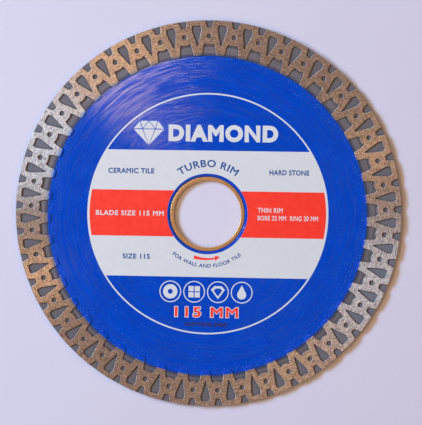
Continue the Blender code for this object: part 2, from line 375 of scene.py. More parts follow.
def lattice_loops(bm, grow, edge_radius, height):
    """Corners of every edge of the lattice at one height: outer, inner, then coffins and pits."""
    outlines = [outer_outline(grow, edge_radius), inner_outline(grow)]
    outlines += [coffin_outline(cell, grow) for cell in range(CELLS)]
    outlines += [pit_outline(cell, grow) for cell in range(CELLS)]
    return [[(bm.verts.new((*point, height)), label) for point, label in outline] for outline in outlines]


def between(loop, start, end):
    """The corners of a loop from one label to another, both included."""
    labels = [label for _, label in loop]
    first = labels.index(start)
    last = labels.index(end)
    if last < first:
        last += len(loop)
    return [loop[i % len(loop)][0] for i in range(first, last + 1)]


def floor_pair(bm, radius, angle, offset):
    """Two corners at the floor's height, one on each side of a direction."""
    return [bm.verts.new((*polar(radius, angle + turn), FLOOR)) for turn in (-offset, offset)]


def lip_points(cell):
    """Plan points of the base ring's inner edge between two feet: a shallow curve under the arch."""
    half_angle = CELL_ANGLE / 2 - FOOT_ROOT_ANGLE
    points = []
    for part in LIP_PARTS:
        radius = BASE_INNER_RADIUS + LIP_BULGE * part ** 2
        points.append(polar(radius, body_angle(cell) + part * half_angle))
    return points


def raise_lattice(bm):
    """The lattice's top, walls and pocket floors; returns the outer and the inner loop on the floor."""
    middle = BEVEL_MIDDLE * LATTICE_BEVEL
    levels = [
        (LATTICE_BEVEL, RIM_RADIUS - LATTICE_BEVEL, TOP),
        (middle, RIM_RADIUS - middle, TOP - middle),
        (0.0, RIM_RADIUS, TOP - LATTICE_BEVEL),
        (-WALL_DRAFT, RIM_RADIUS, FLOOR + WALL_FILLET),
        (-WALL_DRAFT - WALL_FILLET, RIM_RADIUS, FLOOR),
    ]
    loops = [lattice_loops(bm, grow, radius, height) for grow, radius, height in levels]
    for upper, lower in zip(loops, loops[1:]):
        for upper_loop, lower_loop in zip(upper, lower):
            strip(bm, [vert for vert, _ in upper_loop], [vert for vert, _ in lower_loop])

    top_edges = []
    for loop in loops[0]:
        for i in range(len(loop)):
            top_edges.append(bm.edges.get((loop[i - 1][0], loop[i][0])))
    bmesh.ops.triangle_fill(bm, edges=top_edges, use_beauty=True, use_dissolve=False, normal=(0, 0, 1))

    outer, inner = loops[-1][:2]
    for pocket_loop in loops[-1][2:]:
        bm.faces.new([vert for vert, _ in pocket_loop])
    return outer, inner


def close_floor(bm, outer, inner):
    """The floors of the notches and the edge of the base ring; returns the loops of its two walls."""
    outer_wall = []
    inner_wall = []
    for cell in range(CELLS):
        crest = between(outer, ("mouth", (cell - 1) % CELLS, 1), ("mouth", cell, -1))
        notch = between(outer, ("mouth", cell, -1), ("mouth", cell, 1))
        edge = floor_pair(bm, RIM_RADIUS, body_angle(cell), NOTCH_EDGE_ANGLE)
        bm.faces.new(notch + edge[::-1])
        outer_wall += crest + edge

        foot = between(inner, ("root", cell, -1), ("root", cell, 1))
        under = floor_pair(bm, BASE_INNER_RADIUS, pocket_angle(cell), FOOT_EDGE_ANGLE)
        bm.faces.new(foot + under[::-1])
        arch = between(inner, ("root", cell, 1), ("root", (cell + 1) % CELLS, -1))
        lip = [bm.verts.new((*point, FLOOR)) for point in lip_points(cell)]
        bm.faces.new(arch + lip[::-1])
        inner_wall += [foot[0]] + under + [foot[-1]] + lip
    return outer_wall, inner_wall


def make_rim(material):
    """The sintered rim: its upper half, with a slot for the core's tongue, then that half mirrored."""
    bm = bmesh.new()
    outer, inner = raise_lattice(bm)
    outer_wall, inner_wall = close_floor(bm, outer, inner)
    slot_half = TONGUE_HALF + JOINT_GAP
    slot_radius = TONGUE_RADIUS + JOINT_GAP
    outer_middle = [bm.verts.new((vert.co.x, vert.co.y, 0)) for vert in outer_wall]
    slot_mouth = [bm.verts.new((vert.co.x, vert.co.y, slot_half)) for vert in inner_wall]
    ends = [Vector(vert.co[:2]).normalized() * slot_radius for vert in inner_wall]
    slot_corner = [bm.verts.new((*end, slot_half)) for end in ends]
    slot_middle = [bm.verts.new((*end, 0)) for end in ends]
    strip(bm, outer_wall, outer_middle)
    strip(bm, inner_wall, slot_mouth)
    strip(bm, slot_mouth, slot_corner)
    strip(bm, slot_corner, slot_middle)
    everything = bm.verts[:] + bm.edges[:] + bm.faces[:]
    bmesh.ops.mirror(bm, geom=everything, axis="Z", merge_dist=MERGE_DISTANCE)
    return finish_mesh("rim_lattice", bm, material, replaces=["diamond_rim"])


# Core, ring and coats

def bore_edge(coat):
    """Profile of the core's bore edge under a coat of a thickness: bore wall, chamfer, face.

    Each end of the chamfer has two points a little apart, so that it meets the wall and the face softly.
    """
    out = BORE_RADIUS + BORE_CHAMFER
    low = CORE_HALF - BORE_CHAMFER
    thin = coat * COAT_ON_CHAMFER
    return [
        (BORE_RADIUS - thin, low - 0.03 * MM),
        (BORE_RADIUS + 0.02 * MM - thin, low + 0.05 * MM + thin),
        (out - 0.06 * MM - thin, CORE_HALF - 0.045 * MM + thin),
        (out + 0.01 * MM, CORE_HALF - 0.008 * MM + coat),
        (out + 0.09 * MM, CORE_HALF + coat),
    ]


def make_core(material):
    """The steel disc: chamfered bore, bevelled step, and the tongue that the rim is pressed over."""
    edge = BASE_INNER_RADIUS - JOINT_GAP
    half = bore_edge(0.0)
    half += [(edge - STEP_BEVEL, CORE_HALF), (edge, CORE_HALF - STEP_BEVEL)]
    half += [(edge, TONGUE_HALF), (TONGUE_RADIUS, TONGUE_HALF)]
    profile = half + [(radius, -height) for radius, height in half[::-1]]
    bm = turned([profile] * CORE_SPOKES)
    return finish_mesh("core_disc", bm, material, replaces=["steel_core"])


def make_ring(material):
    """The reducing ring, with rounded edges and a faint turned groove along its bore."""
    inset = RING_EDGE_RADIUS
    inner = RING_BORE_RADIUS
    outer = RING_RADIUS
    side = RING_HALF - inset
    profile = rounded_corner(outer - inset, side, inset, 0)
    profile += rounded_corner(inner + inset, side, inset, 1)
    profile += [(inner + RING_GROOVE, 0.0)]
    profile += rounded_corner(inner + inset, -side, inset, 2)
    profile += rounded_corner(outer - inset, -side, inset, 3)
    bm = turned([profile] * RING_SPOKES)
    return finish_mesh("bore_ring", bm, material, body="ring", replaces=["reducing_ring"])


def lacquer_edge(face, angle):
    """Radius of a coat's outer edge from the blade's axis: a masked circle, slightly wavy and ragged."""
    x, y = LACQUER_CENTRE[face]
    towards = x * math.cos(angle) + y * math.sin(angle)
    wave = noise.noise((*polar(LACQUER_WAVE_TURN, angle), 3.0 * face))
    rag = noise.noise((*polar(LACQUER_RAG_TURN, angle), 7.0 * face))
    return LACQUER_RADIUS + towards + LACQUER_WAVE * wave + LACQUER_RAG * rag


def make_lacquer(name, face, material, node):
    """One coat of lacquer, wrapped round the edge of the bore and thinning out at its outer edge."""
    top = CORE_HALF + LACQUER_HIGH
    inner = bore_edge(LACQUER_HIGH) + [(radius, top) for radius in LACQUER_FACE_RADII]
    under = bore_edge(LACQUER_LOW)[::-1]
    profiles = []
    for i in range(LACQUER_SPOKES):
        edge = lacquer_edge(face, FULL_TURN * i / LACQUER_SPOKES)
        outer = [(edge - LACQUER_EDGE_WIDTH, top), (edge, CORE_HALF + LACQUER_LOW)]
        profiles.append([(radius, face * height) for radius, height in inner + outer + under])
    bm = turned(profiles)
    return finish_mesh(name, bm, material, replaces=[node])


def make_white_print(material):
    """The circle line and the band across the middle, open over the hub, above the band and below it."""
    window = PRINT_RADIUS - PRINT_LINE_WIDTH
    angle = math.asin(PRINT_BAND_HALF / window)
    outlines = [
        circle(PRINT_RADIUS, 256),
        arc(window, angle, math.pi - angle, 90),
        arc(window, math.pi + angle, FULL_TURN - angle, 90),
        circle(PRINT_HUB_RADIUS, 128),
    ]
    bm = plate(outlines, WHITE_LOW)
    return finish_mesh("ink_white", bm, material, replaces=["white_print"])


def make_red_band(name, centre_angle, material, node):
    """One red band beside the bore: straight long sides, and ends that follow the rim and the hub."""
    outer_angle = math.asin(RED_HALF / RED_RADIUS)
    hub_angle = math.asin(RED_HALF / RED_HUB_RADIUS)
    outline = arc(RED_RADIUS, centre_angle - outer_angle, centre_angle + outer_angle, 32)
    outline += arc(RED_HUB_RADIUS, centre_angle + hub_angle, centre_angle - hub_angle, 32)
    bm = plate([outline], RED_LOW)
    return finish_mesh(name, bm, material, replaces=[node])


def make_arrow(material):
    """The curved arrow under the bore: its shaft narrows towards the head, and its tail is cut square."""
    outer = []
    inner = []
    for i in range(ARROW_STEPS + 1):
        part = i / ARROW_STEPS
        angle = ARROW_TAIL_ANGLE + part * (ARROW_NECK_ANGLE - ARROW_TAIL_ANGLE)
        half = ARROW_TAIL_HALF - ARROW_NARROWING * part ** 0.7
        outer.append(polar(ARROW_RADIUS + half, angle))
        inner.append(polar(ARROW_RADIUS - half, angle))
    head = [
        polar(ARROW_RADIUS + ARROW_OUTER_BARB, ARROW_NECK_ANGLE),
        polar(ARROW_RADIUS - ARROW_TIP_INSET, ARROW_TIP_ANGLE),
        polar(ARROW_RADIUS - ARROW_INNER_BARB, ARROW_NECK_ANGLE),
    ]
    bm = plate([outer + head + inner[::-1]], RED_LOW)
    return finish_mesh("ink_arrow", bm, material, replaces=["rotation_arrow"])


# Lettering and signs: generic words, sizes and shapes

def letter_outlines(name, text, spacing):
    """Closed outlines of a line of text, each with its ink on its left side."""
    curve = bpy.data.curves.new(name, "FONT")
    curve.body = text
    curve.space_character = spacing
    curve.resolution_u = LETTER_CURVE_STEPS
    holder = bpy.data.objects.new(name, curve)
    link(holder)
    shown = holder.evaluated_get(bpy.context.evaluated_depsgraph_get())
    mesh = bpy.data.meshes.new_from_object(shown)
    bpy.data.objects.remove(holder, do_unlink=True)
    bm = bmesh.new()
    bm.from_mesh(mesh)
    bpy.data.meshes.remove(mesh)
    bmesh.ops.remove_doubles(bm, verts=bm.verts[:], dist=LETTER_MERGE)
    follow = {}
    for edge in bm.edges:
        if len(edge.link_faces) == 1:
            corner = edge.link_loops[0]
            follow[corner.vert] = corner.link_loop_next.vert
    outlines = []
    for start in list(follow):
        outline = []
        vert = start
        while vert in follow:
            if not outline or (vert.co.xy - outline[-1]).length > LETTER_STEP:
                outline.append(vert.co.xy.copy())
            vert = follow.pop(vert)
        if outline:
            outlines.append(outline)
    bm.free()
    return outlines


def widened(outline, amount):
    """An outline moved to its right by an amount, with pointed corners: bolder ink."""
    made = []
    for i, point in enumerate(outline):
        before = (point - outline[i - 1]).normalized()
        after = (outline[(i + 1) % len(outline)] - point).normalized()
        first = Vector((before.y, -before.x))
        second = Vector((after.y, -after.x))
        made.append(point + (first + second) * amount / max(1 + first.dot(second), MITRE_LIMIT))
    return made


def signed_area(outline):
    return sum(outline[i - 1].cross(point) for i, point in enumerate(outline)) / 2


def inside_box(outline, box_of):
    xs = [point.x for point in box_of]
    ys = [point.y for point in box_of]
    return min(xs) <= outline[0].x <= max(xs) and min(ys) <= outline[0].y <= max(ys)


def make_shapes(name, shapes, material, low):
    """Several flat shapes as one piece of print: each is a list of outlines, edge first, then holes."""
    whole = bmesh.new()
    for outlines in shapes:
        part = plate(outlines, low)
        mesh = bpy.data.meshes.new(name + "_part")
        part.to_mesh(mesh)
        part.free()
        whole.from_mesh(mesh)
        bpy.data.meshes.remove(mesh)
    return finish_mesh(name, whole, material)


def make_word(name, text, width, height, material, centre=None, bend=None, weight=0.0,
              border=0.0, low=WORD_LOW, spacing=1.0):
    """A line of text of a given size: straight about a centre, or bent round a circle.

    weight makes the strokes bolder, in units of the font, and border adds a width all round.
    bend is (baseline radius, middle angle, side): side 1 reads clockwise with its feet towards the
    axis, and side -1 reads anticlockwise with its feet away from it.
    """
    outlines = [widened(outline, weight) for outline in letter_outlines(name, text, spacing)]
    xs = [point.x for outline in outlines for point in outline]
    ys = [point.y for outline in outlines for point in outline]
    scale_x = width / (max(xs) - min(xs))
    scale_y = height / (max(ys) - min(ys))
    placed = []
    for outline in outlines:
        made = []
        for point in outline:
            x = (point.x - (max(xs) + min(xs)) / 2) * scale_x
            y = (point.y - (max(ys) + min(ys)) / 2) * scale_y
            if bend:
                radius, angle, side = bend
                made.append(polar(radius + side * (y + height / 2), angle - side * x / radius))
            else:
                made.append(Vector((centre[0] + x, centre[1] + y)))
        placed.append(widened(made, border))
    edges = [outline for outline in placed if signed_area(outline) > 0]
    holes = [outline for outline in placed if signed_area(outline) < 0]
    shapes = [[edge] + [hole for hole in holes if inside_box(hole, edge)] for edge in edges]
    return make_shapes(name, shapes, material, low)


def shrunk(outline, amount):
    """An outline drawn in towards its middle, to leave a line of lacquer between two shapes."""
    middle = sum(outline, Vector((0, 0))) / len(outline)
    made = []
    for point in outline:
        away = point - middle
        made.append(middle + away * (1 - amount / away.length))
    return made


def make_emblem(material):
    """A cut gem seen from the side, in facets, to the left of the title."""
    crown = [Vector(point) * MM for point in ((-2.7, 3.5), (0, 3.5), (2.7, 3.5))]
    girdle = [Vector(point) * MM for point in ((-4.7, 1.0), (-1.9, 1.0), (1.9, 1.0), (4.7, 1.0))]
    culet = Vector((0, -3.9)) * MM
    facets = [
        (girdle[0], girdle[1], crown[0]),
        (crown[0], girdle[1], crown[1]),
        (girdle[1], girdle[2], crown[1]),
        (crown[1], girdle[2], crown[2]),
        (girdle[2], girdle[3], crown[2]),
        (girdle[0], culet, girdle[1]),
        (girdle[1], culet, girdle[2]),
        (girdle[2], culet, girdle[3]),
    ]
    shapes = [[shrunk([GEM_CENTRE + point for point in facet], GEM_GAP)] for facet in facets]
    return make_shapes("gem_emblem", shapes, material, WHITE_LOW)


def make_signs(material):
    """Four ringed signs in a row: a disc, tiles, a gem and a drop, as plain shapes."""
    disc_centre, tiles_centre, gem_centre, drop_centre = SIGN_CENTRES
    shapes = []
    for centre in SIGN_CENTRES:
        shapes.append([circle(SIGN_RADIUS, 64, centre), circle(SIGN_RADIUS - SIGN_LINE_WIDTH, 64, centre)])
    shapes.append([circle(2.15 * MM, 40, disc_centre), circle(0.75 * MM, 24, disc_centre)])
    square = [Vector(corner) * (0.78 * MM) for corner in ((-1, -1), (1, -1), (1, 1), (-1, 1))]
    for x in (-0.92, 0.92):
        for y in (-0.92, 0.92):
            middle = tiles_centre + Vector((x, y)) * MM
            shapes.append([[middle + corner for corner in square]])
    gem = [Vector(point) * MM for point in ((-2.1, 0.7), (-1.1, 1.8), (1.1, 1.8), (2.1, 0.7), (0, -2.1))]
    shapes.append([[gem_centre + point for point in gem], [gem_centre + point * 0.62 for point in gem]])
    drop = [Vector((0, 2.2)) * MM]
    drop += arc(1.35 * MM, math.radians(155), math.radians(385), 28, (0, -0.7 * MM))
    shapes.append([[drop_centre + point for point in drop]])
    return make_shapes("sign_row", shapes, material, WHITE_LOW)


# Colours of the coats, the metals, the paper and the lights

BLUE = (0.0006, 0.066, 0.515)
BLUE_DEEP = (0.0005, 0.058, 0.48)
BLUE_THIN = (0.008, 0.040, 0.11)
BLUE_SPECK = (0.12, 0.38, 0.75)
BLUE_HAIRLINE = (0.010, 0.125, 0.66)
BLUE_SCRATCH = (0.10, 0.25, 0.62)
SPRAY_ON_STEEL = (0.014, 0.028, 0.085)
SPRAY_ON_RIM = (0.13, 0.21, 0.31)
WHITE = (0.68, 0.735, 0.70)
WHITE_WORN = (0.66, 0.72, 0.69)
RED = (1.0, 0.046, 0.024)
RED_WORN = (0.97, 0.040, 0.021)
NAVY = (0.010, 0.075, 0.28)
NAVY_WORN = (0.018, 0.080, 0.28)
DARK = (0.030, 0.010, 0.028)
DARK_WORN = (0.02, 0.008, 0.024)
GROUND_DULL = (0.25, 0.195, 0.150)
GROUND_BRIGHT = (0.88, 0.675, 0.51)
GROUND_BROAD = (0.53, 0.42, 0.32)
PORE = (0.09, 0.075, 0.07)
POCKET_DARK = (0.115, 0.114, 0.122)
POCKET_PALE = (0.176, 0.172, 0.180)
POCKET_CLOUD = (0.175, 0.165, 0.155)
POCKET_WALL = (0.24, 0.22, 0.21)
# Painted shade: the dark colour laid into corners where shadow falls.
CORNER_SHADE_COLOUR = (0.028, 0.024, 0.024)
STEEL_DARK = (0.125, 0.12, 0.13)
STEEL_PALE = (0.215, 0.208, 0.22)
STEEL_MOTTLE = (0.135, 0.125, 0.12)
COPPER_DARK = (0.74, 0.40, 0.15)
COPPER_PALE = (0.90, 0.50, 0.20)
COPPER_PATINA = (0.64, 0.34, 0.12)
PAPER_COOL = (0.658, 0.662, 0.728)
PAPER_PALE = (0.670, 0.674, 0.736)
PAPER_TOOTH = (0.648, 0.646, 0.718)
WINDOW_LIGHT = (0.345, 0.60, 1.0)
LAMP_LIGHT = (1.0, 0.72, 0.46)
SIDE_LIGHT = (1.0, 0.66, 0.38)
HORIZON_LIGHT = (0.050, 0.034, 0.026)
LOW_LIGHT = (0.090, 0.060, 0.044)
CEILING_LIGHT = (0.800, 0.490, 0.305)
ZENITH_LIGHT = (0.012, 0.008, 0.007)


# Materials

class Graph:
    """A material's nodes, with short calls for the ones used most."""

    def __init__(self, name):
        self.material = bpy.data.materials.new(name)
        self.material.use_nodes = True
        self.tree = self.material.node_tree
        self.shader = self.tree.nodes["Principled BSDF"]
        self.point = self.node("ShaderNodeTexCoord").outputs["Object"]
        parts = self.node("ShaderNodeSeparateXYZ", {0: self.point})
        self.flat = self.node("ShaderNodeCombineXYZ", {0: parts.outputs[0], 1: parts.outputs[1]}).outputs[0]
        self.height = parts.outputs[2]
        self.radius = self.node("ShaderNodeVectorMath", {0: self.flat}, operation="LENGTH").outputs["Value"]
        self.spoke = self.node("ShaderNodeVectorMath", {0: self.flat}, operation="NORMALIZE").outputs[0]

    def node(self, kind, inputs=None, **settings):
        made = self.tree.nodes.new(kind)
        for key, value in settings.items():
            setattr(made, key, value)
        for key, value in (inputs or {}).items():
            self.feed(made.inputs[key], value)
        return made

    def feed(self, socket, value):
        """Link a socket to another one, or set its value; a colour is made opaque."""
        if isinstance(value, bpy.types.NodeSocket):
            self.tree.links.new(value, socket)
        elif socket.type == "RGBA":
            socket.default_value = (*value, 1.0)
        else:
            socket.default_value = value

    def math(self, operation, first, second=0.0):
        return self.node("ShaderNodeMath", {0: first, 1: second}, operation=operation).outputs[0]

    def step(self, value, low, high, to_low=0.0, to_high=1.0):
        """A smooth step of a number between two limits."""
        made = self.node("ShaderNodeMapRange", {0: value, 1: low, 2: high, 3: to_low, 4: to_high},
                         interpolation_type="SMOOTHSTEP", clamp=True)
        return made.outputs[0]

    def mix(self, factor, first, second):
        """A colour between two colours."""
        return self.node("ShaderNodeMix", {0: factor, 6: first, 7: second}, data_type="RGBA").outputs[2]

    def blend(self, factor, first, second):
        """A number between two numbers."""
        return self.node("ShaderNodeMix", {0: factor, 2: first, 3: second}, data_type="FLOAT").outputs[0]

    def grain(self, size, detail=2.0, roughness=0.5):
        """Even noise whose features are about one size across."""
        made = self.node("ShaderNodeTexNoise", {"Vector": self.point, "Scale": 1 / size,
                                                "Detail": detail, "Roughness": roughness})
        return made.outputs[0]

    def streaks(self, length, width, reference, detail=2.0, roughness=0.55, shift=0.0):
        """Noise drawn out along circles about the axis, in marks of a length and a width.

        The length is true at the reference radius, and a shift gives another pattern.
        """
        turn = self.node("ShaderNodeVectorMath", {0: self.spoke, 3: reference / length}, operation="SCALE")
        across = self.node("ShaderNodeMath", {0: self.radius, 1: 1 / width, 2: shift},
                           operation="MULTIPLY_ADD")
        lift = self.node("ShaderNodeCombineXYZ", {2: across.outputs[0]})
        place = self.node("ShaderNodeVectorMath", {0: turn.outputs[0], 1: lift.outputs[0]}, operation="ADD")
        made = self.node("ShaderNodeTexNoise", {"Vector": place.outputs[0], "Scale": 1.0,
                                                "Detail": detail, "Roughness": roughness})
        return made.outputs[0]

    def bump(self, height, distance, after=None):
        inputs = {"Height": height, "Distance": distance, "Strength": 1.0}
        if after:
            inputs["Normal"] = after
        return self.node("ShaderNodeBump", inputs).outputs[0]

    def from_lacquer_circle(self):
        """How far a point is from the middle of the masked circle on the front, in metres."""
        moved = self.node("ShaderNodeVectorMath", {0: self.flat, 1: (*LACQUER_CENTRE[1], 0.0)},
                          operation="SUBTRACT").outputs[0]
        return self.node("ShaderNodeVectorMath", {0: moved}, operation="LENGTH").outputs["Value"]

    def spray_reach(self, grain):
        """How far a point is from the middle of the masked circle, made ragged by a grain."""
        ragged = self.math("MULTIPLY", self.math("SUBTRACT", grain, 0.5), SPRAY_RAG)
        return self.math("ADD", self.from_lacquer_circle(), ragged)

    def painted_corner_shade(self):
        """How much painted shade darkens a point: an ambient-occlusion mask, strongest in corners closer
        than its reach.
        """
        made = self.node("ShaderNodeAmbientOcclusion", {"Distance": CORNER_SHADE_REACH}, samples=8)
        return self.step(made.outputs["AO"], 0.50, 0.97, 1.0, 0.0)

    def ground_in_circles(self, strength):
        """Draw highlights out across the circular grinding lines: a quarter turn from their tangent."""
        tangent = self.node("ShaderNodeTangent", direction_type="RADIAL", axis="Z").outputs[0]
        self.feed(self.shader.inputs["Tangent"], tangent)
        self.feed(self.shader.inputs["Anisotropic"], strength)
        self.feed(self.shader.inputs["Anisotropic Rotation"], 0.25)

    def finish(self, colour, roughness, metallic, normal):
        self.feed(self.shader.inputs["Base Color"], colour)
        self.feed(self.shader.inputs["Roughness"], roughness)
        self.feed(self.shader.inputs["Metallic"], metallic)
        self.feed(self.shader.inputs["Normal"], normal)
        return self.material


def sintered_material():
    """Ground tops with pores and lines, grey pockets with painted shade in their corners, and lacquer on
    the foot tips.
    """
    g = Graph("sintered_rim")
    above = g.math("ABSOLUTE", g.height)
    top = g.step(above, TOP - 0.75 * LATTICE_BEVEL, TOP - 0.15 * LATTICE_BEVEL)
    fine = g.streaks(1.3 * MM, 0.20 * MM, RIM_RADIUS, detail=3.0, roughness=0.6)
    broad = g.streaks(9 * MM, 0.9 * MM, RIM_RADIUS, shift=31.0)
    pores = g.streaks(0.55 * MM, 0.24 * MM, RIM_RADIUS, detail=1.0, shift=77.0)
    grain = g.grain(0.12 * MM, roughness=0.6)
    cloud = g.grain(5 * MM)

    bright = g.mix(g.step(fine, 0.30, 0.72), GROUND_DULL, GROUND_BRIGHT)
    bright = g.mix(g.step(broad, 0.35, 0.70, 0.0, 0.45), bright, GROUND_BROAD)
    pore = g.step(pores, 0.635, 0.70)
    bright = g.mix(pore, bright, PORE)
    pocket = g.mix(g.step(grain, 0.35, 0.70), POCKET_DARK, POCKET_PALE)
    pocket = g.mix(g.step(cloud, 0.40, 0.65, 0.0, 0.30), pocket, POCKET_CLOUD)
    colour = g.mix(top, pocket, bright)
    roughness = g.blend(top, 0.62, g.blend(pore, g.step(fine, 0.3, 0.7, 0.37, 0.44), 0.8))
    metallic = g.blend(top, 0.10, g.blend(pore, 0.72, 0.3))

    facing = g.node("ShaderNodeSeparateXYZ", {0: g.node("ShaderNodeNewGeometry").outputs["True Normal"]})
    wall = g.step(g.math("ABSOLUTE", facing.outputs[2]), 0.80, 0.97, 1.0, 0.0)
    colour = g.mix(wall, colour, POCKET_WALL)
    roughness = g.blend(wall, roughness, 0.50)
    metallic = g.blend(wall, metallic, 0.20)
    pocket_floor = g.math("SUBTRACT", 1.0, g.math("MAXIMUM", top, wall))
    # Painted shade: pocket floors darken towards their walls, where shadow falls.
    colour = g.mix(g.math("MULTIPLY", g.painted_corner_shade(), pocket_floor), colour, CORNER_SHADE_COLOUR)

    reach = g.spray_reach(g.grain(0.5 * MM))
    front = g.step(g.height, 0.0, 0.1 * MM)
    paint = g.math("MULTIPLY", g.step(reach, LACQUER_RADIUS - 0.25 * MM, LACQUER_RADIUS, 1.0, 0.0), front)
    haze = g.step(reach, LACQUER_RADIUS - 0.10 * MM, LACQUER_RADIUS + 1.20 * MM, 0.80, 0.0)
    side = g.node("ShaderNodeVectorMath", {0: g.spoke, 1: SPRAY_SIDE}, operation="DOT_PRODUCT")
    haze = g.math("MULTIPLY", haze, g.step(side.outputs["Value"], -0.5, 0.4, 0.30, 1.0))
    colour = g.mix(g.math("MULTIPLY", haze, front), colour, SPRAY_ON_RIM)
    colour = g.mix(paint, colour, BLUE)
    roughness = g.blend(paint, roughness, 0.20)
    metallic = g.blend(paint, metallic, 0.0)

    lines = g.math("MULTIPLY", g.math("ADD", fine, g.math("MULTIPLY", broad, 0.6)), top)
    lines = g.math("SUBTRACT", lines, g.math("MULTIPLY", pore, 0.8))
    normal = g.bump(lines, 0.010 * MM)
    rough_floor = g.math("MULTIPLY", grain, g.math("SUBTRACT", 1.0, top))
    normal = g.bump(rough_floor, 0.02 * MM, after=normal)
    g.ground_in_circles(0.97)
    return g.finish(colour, roughness, metallic, normal)


def steel_material():
    """Bare steel, ground in circles, with painted shade in its corners and overspray next to the lacquer.
    """
    g = Graph("bare_core")
    fine = g.streaks(4 * MM, 0.12 * MM, BASE_INNER_RADIUS, detail=3.0)
    mottle = g.grain(0.35 * MM)
    steel = g.mix(g.step(fine, 0.3, 0.7), STEEL_DARK, STEEL_PALE)
    steel = g.mix(g.step(mottle, 0.45, 0.7, 0.0, 0.5), steel, STEEL_MOTTLE)
    # Painted shade: the steel darkens in corners, such as under the arches, where shadow falls.
    steel = g.mix(g.painted_corner_shade(), steel, CORNER_SHADE_COLOUR)
    reach = g.spray_reach(mottle)
    spray = g.step(reach, LACQUER_RADIUS + 0.05 * MM, LACQUER_RADIUS + 1.25 * MM, 0.88, 0.0)
    colour = g.mix(spray, steel, SPRAY_ON_STEEL)
    roughness = g.blend(spray, 0.55, 0.45)
    metallic = g.blend(spray, 0.45, 0.1)
    normal = g.bump(fine, 0.008 * MM)
    return g.finish(colour, roughness, metallic, normal)


def copper_material():
    """Turned copper alloy: fine turning lines, faint brown patina."""
    g = Graph("copper_ring")
    fine = g.streaks(6 * MM, 0.05 * MM, RING_BORE_RADIUS)
    cloud = g.grain(2.2 * MM, detail=3.0)
    copper = g.mix(g.step(fine, 0.3, 0.7), COPPER_DARK, COPPER_PALE)
    copper = g.mix(g.step(cloud, 0.42, 0.68, 0.0, 0.45), copper, COPPER_PATINA)
    roughness = g.step(cloud, 0.3, 0.7, 0.24, 0.32)
    normal = g.bump(fine, 0.001 * MM)
    return g.finish(copper, roughness, 0.55, normal)


def lacquer_material():
    """Blue lacquer over ground steel: hairlines, bright scratches and streaks of gloss, all in circles."""
    g = Graph("blue_coat")
    middle = LACQUER_LINES_RADIUS
    long_lines = g.streaks(16 * MM, 0.17 * MM, middle, detail=3.0, roughness=0.65)
    short_lines = g.streaks(5 * MM, 0.30 * MM, middle, shift=53.0)
    hairlines = g.streaks(3.0 * MM, 0.07 * MM, middle, shift=11.0)
    gloss = g.streaks(9 * MM, 0.26 * MM, middle, detail=1.0, shift=71.0)
    cloud = g.grain(7 * MM)
    dots = g.grain(0.26 * MM, detail=0.0)
    orange_peel = g.grain(0.7 * MM, detail=1.0)
    reach = g.from_lacquer_circle()

    blue = g.mix(g.step(cloud, 0.35, 0.65), BLUE_DEEP, BLUE)
    more_dots = g.step(reach, LACQUER_RADIUS - 4.5 * MM, LACQUER_RADIUS, 0.0, 0.08)
    blue = g.mix(g.step(g.math("ADD", dots, more_dots), 0.79, 0.84), blue, BLUE_SPECK)
    thin = g.step(reach, LACQUER_RADIUS - 0.50 * MM, LACQUER_RADIUS + 0.05 * MM, 0.0, 0.65)
    blue = g.mix(thin, blue, BLUE_THIN)
    blue = g.mix(g.step(hairlines, 0.56, 0.74, 0.0, 0.55), blue, BLUE_HAIRLINE)
    scratch = g.step(long_lines, 0.59, 0.70, 0.0, 0.50)
    blue = g.mix(scratch, blue, BLUE_SCRATCH)

    g.feed(g.shader.inputs["Specular IOR Level"], g.step(gloss, 0.43, 0.62, 0.08, 1.0))
    g.feed(g.shader.inputs["IOR"], 1.75)
    roughness = g.step(short_lines, 0.3, 0.7, 0.14, 0.18)
    lines = g.math("ADD", long_lines, g.math("MULTIPLY", short_lines, 0.8))
    lines = g.math("ADD", lines, g.math("MULTIPLY", hairlines, 0.5))
    normal = g.bump(lines, 0.016 * MM)
    normal = g.bump(orange_peel, 0.002 * MM, after=normal)
    g.ground_in_circles(0.85)
    return g.finish(blue, roughness, scratch, normal)


def ink_material(name, colour, worn, roughness):
    """Screen ink: a faint mottle, the lacquer's lines showing through, and small wear."""
    g = Graph(name)
    mottle = g.grain(1.6 * MM, detail=3.0, roughness=0.6)
    lines = g.streaks(10 * MM, 0.22 * MM, 30 * MM, shift=19.0)
    mixed = g.mix(g.step(mottle, 0.30, 0.70), worn, colour)
    mixed = g.mix(g.step(lines, 0.62, 0.80, 0.0, 0.30), mixed, worn)
    rough = g.step(mottle, 0.3, 0.7, roughness - 0.05, roughness + 0.05)
    return g.finish(mixed, rough, 0.0, g.bump(lines, 0.008 * MM))


def paper_material():
    """A sheet of pale paper with a barely visible tooth."""
    g = Graph("pale_paper")
    tooth = g.grain(0.9 * MM, detail=3.0, roughness=0.6)
    broad = g.grain(40 * MM)
    colour = g.mix(g.step(broad, 0.3, 0.7), PAPER_COOL, PAPER_PALE)
    colour = g.mix(g.step(tooth, 0.3, 0.7, 0.0, 0.35), colour, PAPER_TOOTH)
    g.feed(g.shader.inputs["Specular IOR Level"], 0.2)
    return g.finish(colour, 0.85, 0.0, g.bump(tooth, 0.02 * MM))


# Studio and camera

def area_light(name, azimuth, elevation, distance, size, watts, colour):
    """A lamp of a width and a height aimed at the blade; azimuth is anticlockwise from +X."""
    light = bpy.data.lights.new(name, "AREA")
    light.shape = "RECTANGLE"
    light.size = size[0]
    light.size_y = size[1]
    light.energy = watts
    light.color = colour
    lamp = bpy.data.objects.new(name, light)
    a = math.radians(azimuth)
    e = math.radians(elevation)
    towards = Vector((math.cos(a) * math.cos(e), math.sin(a) * math.cos(e), math.sin(e)))
    lamp.location = towards * distance
    lamp.rotation_mode = "QUATERNION"
    lamp.rotation_quaternion = towards.to_track_quat("Z", "Y")
    link(lamp)


